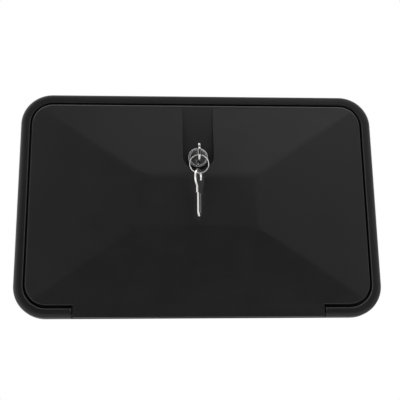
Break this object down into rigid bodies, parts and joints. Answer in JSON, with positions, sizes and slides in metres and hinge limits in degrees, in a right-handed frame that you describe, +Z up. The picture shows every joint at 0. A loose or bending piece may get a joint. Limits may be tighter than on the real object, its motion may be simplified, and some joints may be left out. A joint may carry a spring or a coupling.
{
  "type": "exterior shower box",
  "caption": "Black wall-mounted shower box for a camper: framed tub with a faceted bottom-hinged door, cam lock with keys on a ring, and a two-handle mixer inside.",
  "frame": {"origin": "on the wall face of the flange, midway between its lower edge and the tub, in the middle of its width", "axes": "X to the right seen from the front, Y into the wall, Z up"},
  "size_m": [0.3672, 0.171, 0.234],
  "materials": {
    "black_plastic": "satin, fine grain",
    "seal_rubber": "matte",
    "pin_steel": "black oxide",
    "lock_chrome": "bright plated",
    "zinc_steel": "zinc plated",
    "key_nickel": "nickel plated",
    "ring_steel": "nickel plated",
    "mixer_plastic": "gloss",
    "tap_brass": "turned",
    "index_red": "gloss",
    "index_blue": "gloss"
  },
  "bodies": {
    "housing": {"front_frame": "black_plastic", "tub": "black_plastic", "door_seal": "seal_rubber", "hinge_pin_left": "pin_steel", "hinge_pin_right": "pin_steel", "mixer_body": "mixer_plastic", "hose_outlet": "tap_brass", "hot_bonnet": "tap_brass", "hot_knob": "mixer_plastic", "hot_index": "index_red", "hot_inlet": "tap_brass", "cold_bonnet": "tap_brass", "cold_knob": "mixer_plastic", "cold_index": "index_blue", "cold_inlet": "tap_brass", "cam_keeper": "zinc_steel"},
    "door": {"door": "black_plastic", "lock_barrel": "lock_chrome", "lock_nut": "zinc_steel"},
    "lock_plug": {"lock_plug": "lock_chrome", "lock_cam": "zinc_steel", "cam_screw": "zinc_steel", "key_in_lock": "key_nickel"},
    "key_ring": {"key_ring": "ring_steel"},
    "spare_key": {"spare_key": "key_nickel"}
  },
  "joints": [
    {"name": "door_hinge", "type": "hinge", "parent": "housing", "child": "door", "pos_m": [0, -0.0087, -0.0124], "axis": [1, 0, 0], "range_deg": [0, 160]},
    {"name": "lock_turn", "type": "hinge", "parent": "door", "child": "lock_plug", "pos_m": [0, -0.012, 0.1477], "axis": [0, 1, 0], "range_deg": [0, 90]},
    {"name": "ring_swing", "type": "hinge", "parent": "lock_plug", "child": "key_ring", "pos_m": [0, -0.0332, 0.1477], "axis": [-1, 0, 0], "range_deg": [0, 60]},
    {"name": "spare_key_swing", "type": "hinge", "parent": "key_ring", "child": "spare_key", "pos_m": [0, -0.0332, 0.12189], "axis": [-0.8988, 0.4384, 0], "range_deg": [0, 60]}
  ]
}
